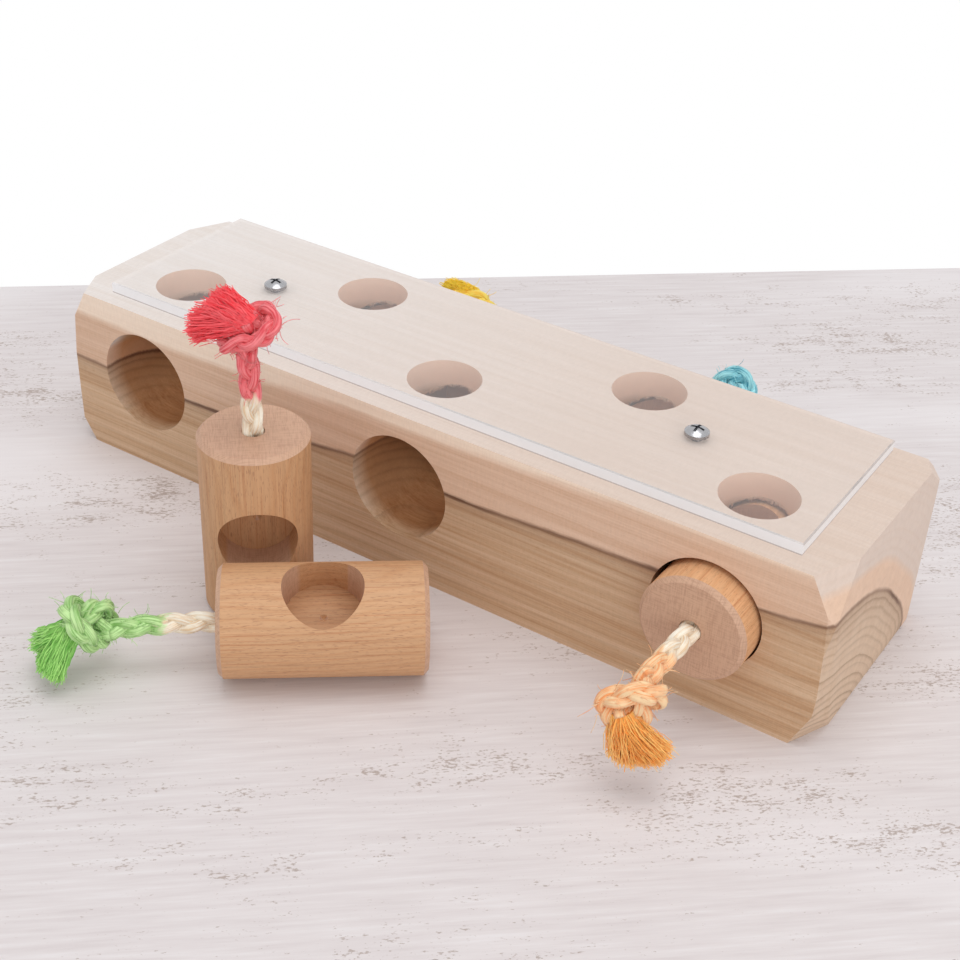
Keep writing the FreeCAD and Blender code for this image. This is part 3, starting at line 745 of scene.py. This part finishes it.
def straight_knot():
    """A tight overhand knot round the Z axis, with straight ends."""
    t = np.linspace(-2.3, 2.3, 160)
    loose = np.stack([t ** 3 - 3 * t, t ** 4 - 4 * t ** 2, (t ** 5 - 10 * t) / 5], axis=1) * 3.5
    upright = unit(loose[-1] - loose[0])
    aside = unit(np.cross(upright, (0.1, 0.9, 0.2)))
    loose = (loose - loose.mean(0)) @ np.stack([aside, np.cross(upright, aside), upright], axis=1)
    loose[:, 0] *= -1
    line = np.concatenate([[(0, 0, -HELD)], loose, [(0, 0, HELD)]])
    for count, steps in ((48, 900), (72, 300)):
        line = pulled(evenly(line, count), steps)
    return line


TIGHT = straight_knot()
print("rope in the knot:", round(run_length(TIGHT) - 2 * HELD, 1), "mm more than its span")

# %% [markdown]
# The same knot looks different on each rope, because it is rolled another way round and its tail is pulled to
# another side. Five knots could be tied from the start, but it is quicker to swing the tail of this one over
# in small steps, and to let the knot settle after each.

# %% Five knots
# Way that the tail leaves, how many degrees the knot is rolled from that side, a last shift of the knot, its
# size, and how far from its middle the tail is cut
TAILS = {
    "red": ((-13.5, -5.5, 5.0), 0, (0.8, 0, -0.5), 1.0, 7.5),
    "green": ((-7.6, -12.4, -10.6), 300, (0, 0, 1.4), 1.0, 7.5),
    "orange": ((4.4, 2.0, -19.5), 80, (0.4, 0, 0.4), 0.92, 4.8),
    "yellow": ((-13.5, -1.0, 5.0), 0, (-2.6, 0, -1.2), 0.88, 7.5),
    "turquoise": ((3.0, 12.5, -15.0), 0, (0, 0, -1.5), 0.95, 8.0),
}
SWINGS = 20
KNOT_POINTS = 400
KNOT_ENTRY = 6.5          # the rope's straight stretch ends this far before the knot's middle


def tied(name):
    """Line of the rope through its knot, from the end of the straight stretch to the frayed end."""
    middle, along, _ = PLUGS[name]
    way, roll, shift, size, cut = TAILS[name]
    centre = knot_middle(name) + shift
    onward = unit(centre - np.array(middle + along * (PLUG_LENGTH / 2 + 8)))
    swing = math.acos(unit(way).dot(onward))
    aside = -unit(np.array(way) - onward * onward.dot(way))
    line = TIGHT @ np.array(Matrix.Rotation(math.radians(-roll), 3, "Z"))
    for step in range(1, SWINGS + 1):
        angle = swing * step / SWINGS
        line[-1] = np.array([-math.sin(angle), 0, math.cos(angle)]) * HELD
        line = pulled(line, 12)
    line = evenly(pulled(line, 120), KNOT_POINTS)
    # The middle of the knot is where its stretches touch
    one, other = np.triu_indices(len(line), 30)
    touching = np.linalg.norm(line[other] - line[one], axis=1) < 1.1 * KNOT_ROPE
    line -= (line[one[touching]].mean(0) + line[other[touching]].mean(0)) / 2
    line *= size
    first = int(np.argmax(line[:, 2] > -KNOT_ENTRY))
    last = int(np.flatnonzero(np.linalg.norm(line, axis=1) < cut)[-1]) + 1
    return centre + line[first:last] @ np.stack([aside, np.cross(onward, aside), onward])


TIED = {name: tied(name) for name in PLUGS}
for name, line in TIED.items():
    print(name, "knot line", round(run_length(line), 1), "mm, size", np.round(np.ptp(line, axis=0), 1))

# %% [markdown]
# The line of each rope's straight stretch is a smooth spline from the hole's floor to the knot. Its one bend
# lies on the plug's axis, where the rope's way into the knot, followed backwards, comes nearest, so the rope
# leaves its hole straight. An arc and two straight runs would look like bent wire. Everything on the rope
# follows points read from that spline.

# %% Rope routes
def rope_route(name):
    """Hole's floor, bend and end of the rope's straight stretch."""
    middle, along, _ = PLUGS[name]
    start, axis = np.array(middle + along * (PLUG_LENGTH / 2 - ROPE_HOLE_DEPTH)), np.array(along)
    end, back = TIED[name][0], unit(TIED[name][0] - TIED[name][6])
    lean = axis.dot(back)
    nearest = (axis - back * lean).dot(end - start) / (1 - lean ** 2)
    reach = axis.dot(end - start)
    return start, start + axis * min(max(nearest, 0.5 * reach), 0.85 * reach), end


def spline_points(name, route):
    """Points of the smooth line through a route, in millimetres."""
    curve = bpy.data.curves.new(name, "CURVE")
    curve.dimensions = "3D"
    curve.resolution_u = 24
    spline = curve.splines.new("NURBS")
    spline.points.add(len(route) - 1)
    for point, place in zip(spline.points, route):
        point.co = (*(np.array(place) * MM), 1.0)
    spline.order_u = 3
    spline.use_endpoint_u = True
    carrier = bpy.data.objects.new(name, curve)
    bpy.context.scene.collection.objects.link(carrier)
    bpy.context.view_layer.update()
    drawn = bpy.data.meshes.new_from_object(carrier.evaluated_get(bpy.context.evaluated_depsgraph_get()))
    points = np.array([tuple(vertex.co) for vertex in drawn.vertices]) / MM
    bpy.data.objects.remove(carrier)
    bpy.data.curves.remove(curve)
    bpy.data.meshes.remove(drawn)
    return points


LINES = {name: spline_points(f"line_{name}", rope_route(name)) for name in PLUGS}
print("straight stretches:", {name: round(run_length(line), 1) for name, line in LINES.items()}, "mm")

# %% [markdown]
# A plait shows as overlapping pointed leaves in two rows; a twisted rope would show one row of slanting ones.
# A bumpy material on a plain tube would look painted close up, so the strands are real tubes. Each swings
# from side to side and, at twice that pace, over and under. Its section is an oval with shallow lobes, one
# for each yarn. The straight stretch and the knot are plaited in one go along their joined line, and then cut
# into two pieces, so that the strands run through without a step. The flat side of the plait is turned to the
# front where the rope leaves the plug.

# %% Plaiting the strands
PLAIT = 25.0              # length in which a strand comes back to its place
SWAY = 1.75               # how far a strand swings to each side
HEAVE = 1.35              # how far it goes over and under
STRAND_WIDTH = 3.5
STRAND_THICKNESS = 2.8
YARNS = 6
YARN_TURN = 30.0          # length in which a yarn goes once round its strand
AROUND = 26
RING_STEP = 0.6
FRONT = np.array([0.443, -0.708, 0.55])


def carried_frames(line):
    """Tangent and two sideways directions at each point, carried along without twist."""
    ways = units(np.gradient(line, axis=0))
    side = unit(np.cross(ways[0], FRONT))
    sides = []
    for way in ways:
        side = unit(side - way * side.dot(way))
        sides.append(side)
    sides = np.array(sides)
    return ways, sides, np.cross(sides, ways)


def strand_rings(line, number):
    """Rings of points round one strand, and the length along the rope at each ring."""
    ways, sides, fronts = carried_frames(line)
    along = lengths_along(line)
    phase = 2 * np.pi * (along / PLAIT + number / 3)
    middle = line + sides * (SWAY * np.sin(phase))[:, None] + fronts * (HEAVE * np.sin(2 * phase))[:, None]
    strand_ways = units(np.gradient(middle, axis=0))
    fronts = units(fronts - strand_ways * (fronts * strand_ways).sum(1)[:, None])
    across = np.cross(strand_ways, fronts)
    angle = np.linspace(0, 2 * np.pi, AROUND, endpoint=False)
    lobes = 0.96 + 0.05 * np.cos(YARNS * angle[None, :] + 2 * np.pi * along[:, None] / YARN_TURN * YARNS)
    swell = 1 + 0.04 * np.sin(along / 2.9 + 2.1 * number)
    size = (lobes * swell[:, None])[:, :, None] / 2
    rings = middle[:, None, :] + size * (
        across[:, None, :] * (STRAND_WIDTH * np.cos(angle))[None, :, None]
        + fronts[:, None, :] * (STRAND_THICKNESS * np.sin(angle))[None, :, None])
    return rings, along


def tube_faces(ring_count, around, first):
    """Quads between rings and a cap at each end, for points numbered from first."""
    faces = []
    for ring in range(ring_count - 1):
        low = first + ring * around
        for step in range(around):
            after = (step + 1) % around
            faces.append((low + step, low + after, low + around + after, low + around + step))
    end = first + (ring_count - 1) * around
    faces.append(tuple(range(first + around - 1, first - 1, -1)))
    faces.append(tuple(range(end, end + around)))
    return faces


def plaited(line, span):
    """Parts of a plait between two lengths along its line: points, faces and UVs of each strand."""
    parts = []
    for number in range(3):
        rings, along = strand_rings(line, number)
        within = (along >= span[0]) & (along <= span[1])
        rings, along = rings[within], along[within]
        round_it = np.tile(np.arange(AROUND) / AROUND * 1.1 + number * 3, len(rings))
        uvs = np.stack([round_it, np.repeat(along, AROUND) / 10], axis=1)
        parts.append((rings.reshape(-1, 3), tube_faces(len(rings), AROUND, 0), uvs))
    return parts


print("three strands of", STRAND_WIDTH, "by", STRAND_THICKNESS, "mm, plaited every", PLAIT, "mm")

# %% [markdown]
# Many small tubes make one piece here, the strands as well as the fibres. Blender could join them as objects,
# but joining lists of points first and making one mesh is much faster. The mesh keeps a UV pair for each
# point, so that a pattern can follow the fibres wherever they go.

# %% Pieces from parts
def joined_parts(parts):
    """One list of points, faces and UVs from several."""
    points, faces, uvs, count = [], [], [], 0
    for part_points, part_faces, part_uvs in parts:
        points.append(part_points)
        faces += [tuple(corner + count for corner in face) for face in part_faces]
        uvs.append(part_uvs)
        count += len(part_points)
    return np.concatenate(points), faces, np.concatenate(uvs)


def mesh_piece(name, parts, material, body, smooth=True):
    """A mesh in metres from parts in millimetres, which rides on a body."""
    points, faces, uvs = joined_parts(parts)
    mesh = bpy.data.meshes.new(name)
    mesh.from_pydata((points * MM).tolist(), [], faces)
    layer = mesh.uv_layers.new(name="fibre")
    corners = np.empty(len(mesh.loops), np.int32)
    mesh.loops.foreach_get("vertex_index", corners)
    layer.data.foreach_set("uv", uvs[corners].astype(np.float32).ravel())
    mesh.polygons.foreach_set("use_smooth", [smooth] * len(mesh.polygons))
    mesh.materials.append(material)
    mesh.update()
    piece = bpy.data.objects.new(name, mesh)
    bpy.context.scene.collection.objects.link(piece)
    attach(piece, body)
    return piece


print("a ring of points every", RING_STEP, "mm,", AROUND, "to a ring")

# %% [markdown]
# Thin tubes make all the single fibres: stray hairs that stand off the rope and its knot, and the many fibres
# of the frayed end. Blender's own hair would draw them finer, but hair isn't a mesh, and the model has to be
# one. They are made many at a time, from arrays of short paths, because a loop over single points would be
# slow.

# %% Fibres
FIBRE_RINGS = 6
HAIR_RADIUS = 0.12


def fibre_part(paths, radii, uvs):
    """Three-sided tapering tubes along many paths: points, faces and UVs."""
    ways = units(np.gradient(paths, axis=1))
    side = units(np.cross(ways, np.array([0.31, 0.52, 0.79])))
    other = np.cross(ways, side)
    size = radii[:, None, None] * np.linspace(1.0, 0.75, FIBRE_RINGS)[None, :, None]
    angles = 2 * np.pi * np.arange(3) / 3
    points = np.stack([paths + (side * math.cos(angle) + other * math.sin(angle)) * size for angle in angles],
                      axis=2)
    faces = [face for fibre in range(len(paths))
             for face in tube_faces(FIBRE_RINGS, 3, fibre * FIBRE_RINGS * 3)]
    along = np.broadcast_to(np.linspace(4, 5, FIBRE_RINGS)[None, :, None], points.shape[:3])
    own = np.broadcast_to(uvs[:, None, None], points.shape[:3])
    return points.reshape(-1, 3), faces, np.stack([own.reshape(-1), along.reshape(-1)], axis=1)


def curved_paths(starts, bends, tips):
    """Smooth paths from starts to tips, pulled towards bends."""
    t = np.linspace(0, 1, FIBRE_RINGS)[None, :, None]
    return (1 - t) ** 2 * starts[:, None] + 2 * t * (1 - t) * bends[:, None] + t ** 2 * tips[:, None]


def stray_hairs(line, count, dice, longest):
    """Single fibres that have come loose from a rope and stand off it."""
    ways, sides, fronts = carried_frames(line)
    spots = dice.integers(0, len(line), count)
    angle = dice.uniform(0, 2 * np.pi, count)
    out = sides[spots] * np.cos(angle)[:, None] + fronts[spots] * np.sin(angle)[:, None]
    onward = ways[spots] * dice.choice([-1.0, 1.0], count)[:, None]
    length = dice.uniform(0.3, 1.0, count)[:, None] ** 2 * longest
    starts = line[spots] + out * 2.8
    bends = starts + onward * length * 0.5 + out * length * 0.25
    tips = starts + onward * length * 0.6 + out * length * 0.75 + dice.normal(0, 0.1, (count, 3)) * length
    paths = curved_paths(starts, bends, tips)
    return fibre_part(paths, np.full(count, HAIR_RADIUS), dice.uniform(0, 9, count))


print("a hair is", 2 * HAIR_RADIUS, "mm thick at its root")

# %% [markdown]
# Sisal is a leaf fibre: pale cream, stiff and silky, in fine straight hairs. The ropes were dipped in dye
# from their knots down, so the straight stretch keeps its own colour near the plug, and the dye ends in an
# uneven line. The cut fibres of the frayed end took up more dye than the outside of the rope. The pattern
# could be a solid one, as the wood's is, but the hairs turn with the strand, so it is drawn on the UV map,
# whose unit is 10 mm: U goes round a strand, and V runs along the rope. Real hairs are 0.1 to 0.3 mm wide;
# these are 0.6 mm, because finer ones run together into one flat tone at this distance.

# %% Sisal
UV_UNIT = 10.0
HAIR_GRAIN = (0.625 / UV_UNIT, 10 / UV_UNIT, 1)
PATCH_GRAIN = (1 / 3, 4 / UV_UNIT, 1)
# Lit and shaded fibre of the rope, then of its frayed end, and where along the rope the dye ends, in UV units
DYES = {
    "red": ("FF8A8E", "E03846", "FF686F", "F01E32", 3.0),
    "green": ("CCF2A8", "7CB458", "B2EA80", "68B540", 3.4),
    "orange": ("FFDCAC", "F89C58", "FFD27C", "FFA440", 3.25),
    "yellow": ("FFEA68", "FABE30", "FFEC5C", "FFCE3C", 3.3),
    "turquoise": ("B0F4FA", "3898B0", "72CAD8", "3A97AB", 3.3),
}
# Lit and shaded tones of the undyed fibre
NATURAL = ("FFF8E6", "EDCFA8")


def sisal(name, pale, dark, dye_line=None):
    """Leaf fibre: silky, with fine hairs that differ in tone and are painted as lit and shaded hairs."""
    def shader(add):
        place = add("UVMap", uv_map="fibre")
        hair = grains(add, place, HAIR_GRAIN, 4.0, 0.6)
        patch = grains(add, place, PATCH_GRAIN)
        share = add("Math", {0: patch, 1: 0.4}, operation="MULTIPLY")
        share = add("Math", {0: hair, 1: 0.85, 2: share}, operation="MULTIPLY_ADD")
        share = add("MapRange", {0: share, 1: 0.50, 2: 0.70})
        tone = add("Mix", {"Factor": share, "A": dark, "B": pale}, data_type="RGBA")
        if dye_line:
            cream = add("Mix", {"Factor": share, "A": NATURAL[1], "B": NATURAL[0]}, data_type="RGBA")
            along = add("SeparateXYZ", {0: place}).outputs[1]
            for uneven, reach in ((patch, 1.3), (hair, 0.5)):
                along = add("Math", {0: uneven, 1: reach, 2: along}, operation="MULTIPLY_ADD")
            dyed = add("MapRange", {0: along, 1: dye_line + 0.78, 2: dye_line + 1.02})
            tone = add("Mix", {"Factor": dyed, "A": cream, "B": tone}, data_type="RGBA")
        bump = add("Bump", {"Height": hair, "Distance": 0.0007, "Strength": 0.9})
        return add("BsdfPrincipled", {"Base Color": tone, "Roughness": 0.5, "IOR": 1.53, "Sheen Weight": 0.2,
                                      "Sheen Roughness": 0.4, "Normal": bump})

    return new_material(name, shader)


print("dyes:", ", ".join(DYES))

# %% [markdown]
# The CAD model holds each rope's straight stretch and its knot as two solids, smooth ones, so the plait is
# cut there too, and each half stands for its own. One mesh from hole to tail would look the same, but the two
# couldn't be told apart later. Stray hairs stand off the dyed part only, where dipping and knotting roughened
# the rope.

# %% Ropes and knots
HAIR_SEED = 31
HAIRS = 150
LONGEST_HAIR = 6.0
ROPES, KNOT_PIECES = {}, {}
for seed, (name, line) in enumerate(LINES.items(), HAIR_SEED):
    body, straight = f"{name}_pull", run_length(line)
    whole = straight + run_length(TIED[name])
    joined = evenly(np.concatenate([line, TIED[name][1:]]), int(whole / RING_STEP))
    pale, dark, _, _, dye_line = DYES[name]
    ROPES[name] = mesh_piece(f"strands_{name}", plaited(joined, (0, straight)),
                             sisal(f"{name}_dipped_sisal", pale, dark, dye_line), body)
    dyed_from = int(len(joined) * (dye_line * UV_UNIT + 3) / whole)
    knot_parts = plaited(joined, (straight - RING_STEP, whole + 1))
    knot_parts.append(stray_hairs(joined[dyed_from:-3], HAIRS, np.random.default_rng(seed), LONGEST_HAIR))
    KNOT_PIECES[name] = mesh_piece(f"overhand_knot_{name}", knot_parts, sisal(f"{name}_sisal", pale, dark),
                                   body)
    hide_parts(f"rope_{name}")
    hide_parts(f"knot_{name}")
    print(name, "rope and knot:", [len(made[name].data.polygons) for made in (ROPES, KNOT_PIECES)], "faces")

# %% [markdown]
# Past the knot the strands are cut and combed out. Each tuft is well over a thousand fibres that leave the
# rope's end together and bend out to their own place in a fan. A solid brush with a hairy material would have
# a hard outline, and real fibres don't. The fan is set by the tips of its clumps, their spread and their
# thickness. Fixed seeds keep every fibre in its place on each run. The fibres are shaded flat: three-sided
# tubes that are shaded smooth turn dark where their corners point away from the light.

# %% Frayed ends
TUFT_SEED = 11
FIBRES = 1400
FIBRE_RADIUS = 0.17
FRIZZ = 0.28              # how far a fibre wanders off its path
# Clumps of each tuft: share of the fibres, tip from the knot's middle, way of its spread, its half width and
# half thickness there, and its half width at the root
CLUMPS = {
    "red": [(0.55, (-10.0, -4.8, 10.5), (0.75, 0.2, 0.65), 5.2, 4.0, 3.2),
            (0.45, (-16.5, -8.0, 1.0), (0.1, 0.3, 0.95), 5.5, 3.0, 3.2)],
    "green": [(0.42, (-12.5, -10.5, -8.5), (-0.8, 0.6, 0.1), 5.0, 3.0, 3.2),
              (0.58, (-4.0, -15.0, -12.0), (-0.8, 0.6, 0.0), 6.5, 3.5, 3.2)],
    "orange": [(0.55, (2.4, -2.5, -16.0), (0.9, 0.4, 0.0), 6.4, 3.5, 3.6),
               (0.45, (9.2, 0.5, -14.2), (0.9, 0.4, 0.2), 5.2, 3.5, 3.6)],
    "yellow": [(0.45, (-5.5, -1.0, 8.6), (1.0, -0.2, 0.3), 1.5, 2.0, 2.4),
               (0.55, (-10.5, -1.0, 8.2), (0.8, -0.2, 0.5), 1.9, 2.0, 2.4)],
    "turquoise": [(0.5, (-1.0, 12.5, -14.5), (0.9, -0.1, 0.2), 5.0, 3.4, 3.2),
                  (0.5, (6.5, 12.5, -14.0), (0.9, -0.1, 0.2), 5.0, 3.4, 3.2)],
}


def clump(name, share, tip, fan, half_width, half_depth, root_width, dice):
    """Fibres from the rope's cut end to one part of the fan."""
    line, count = TIED[name], int(FIBRES * share)
    root, out = line[-1], unit(line[-1] - line[-8])
    onward = unit(tip)
    fan = unit(np.array(fan) - onward * onward.dot(fan))
    thick = np.cross(onward, fan)
    turn, far = dice.uniform(0, 2 * np.pi, count), np.sqrt(dice.random(count))
    over, through = (far * np.cos(turn))[:, None], (far * np.sin(turn))[:, None]
    starts = root - out * 2.0 + fan * over * root_width + thick * through * 3.0
    reach = 1 + dice.normal(0, 0.035, (count, 1)) - 0.10 * over ** 2
    tips = knot_middle(name) + TAILS[name][2] + np.array(tip) * reach
    tips += fan * over * half_width + thick * through * half_depth + dice.normal(0, 0.7, (count, 3))
    bends = starts + out * 2.5 + (tips - starts) * 0.35 + dice.normal(0, 1.1, (count, 3))
    paths = curved_paths(starts, bends, tips)
    paths[:, 1:] += dice.normal(0, FRIZZ, paths[:, 1:].shape)
    return fibre_part(paths, FIBRE_RADIUS * dice.uniform(0.7, 1.3, count), dice.uniform(0, 9, count))


for seed, name in enumerate(PLUGS, TUFT_SEED):
    dice = np.random.default_rng(seed)
    _, _, pale, dark, _ = DYES[name]
    mesh_piece(f"frayed_end_{name}", [clump(name, *one, dice) for one in CLUMPS[name]],
                             sisal(f"{name}_cut_sisal", pale, dark), f"{name}_pull", smooth=False)
    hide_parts(f"tuft_{name}")
print("fibres in a tuft:", FIBRES)

# %% [markdown]
# The cutter tore fibres off where each window breaks into its bore, on the far side as the camera sees it.
# The edge there is a fringe of short torn fibres that hang from the window's wall in uneven tufts. A rough
# bump on the wall would leave the edge itself a clean arc, so these are real fibres of the same wood.

# %% Torn edges
TORN_SEED = 71
TORN = 260                # fibres at each window
TORN_RADIUS = 0.16
WINDOW_RADIUS = 12.5
BORE_Z, BORE_RADIUS = 34.5, 18.75
# Each window's middle and its bore's, along X, and the window's middle along Y
WINDOWS = [(-112.5, -114.5, -17.25), (-57.03, -57.03, 17.25), (-1.97, -2.47, -17.25), (56.01, 56.01, 17.25),
           (112.0, 110.0, -17.25)]


def torn_edge(window_x, bore_x, window_y, dice):
    """A fringe along the far side of one window's lower edge."""
    turn = np.sort(dice.uniform(math.radians(10), math.radians(170), TORN))
    tufts = sum(np.cos(turn * wave + dice.uniform(0, 6)) for wave in (5, 11, 23)) / 3
    hang = 0.15 + 1.3 * np.clip(0.45 + 0.9 * tufts, 0, 1) * dice.uniform(0.75, 1.0, TORN)
    x = window_x + (WINDOW_RADIUS - 0.1) * np.cos(turn)
    y = window_y + (WINDOW_RADIUS - 0.1) * np.sin(turn)
    z = BORE_Z + np.sqrt(BORE_RADIUS ** 2 - (x - bore_x) ** 2)
    starts = np.stack([x, y, z + 0.3], axis=1)
    tips = starts + np.stack([dice.normal(0, 0.15, TORN), -0.12 * hang, -0.3 - hang], axis=1)
    paths = curved_paths(starts, (starts + tips) / 2, tips)
    return fibre_part(paths, np.full(TORN, TORN_RADIUS), dice.uniform(0, 9, TORN))


fringe = [torn_edge(*window, np.random.default_rng(seed)) for seed, window in enumerate(WINDOWS, TORN_SEED)]
TORN_EDGES = mesh_piece("torn_window_edges", fringe, ASH, "block_unit")
print(len(WINDOWS), "torn edges of", TORN, "fibres")

# %% [markdown]
# A rope keeps its length however it lies. Each rope's line is read here once more, and nothing else is done
# with it.

# %% Ropes
for name, rope in ROPES.items():
    line = LINES[name]
print(len(ROPES), "ropes declared")
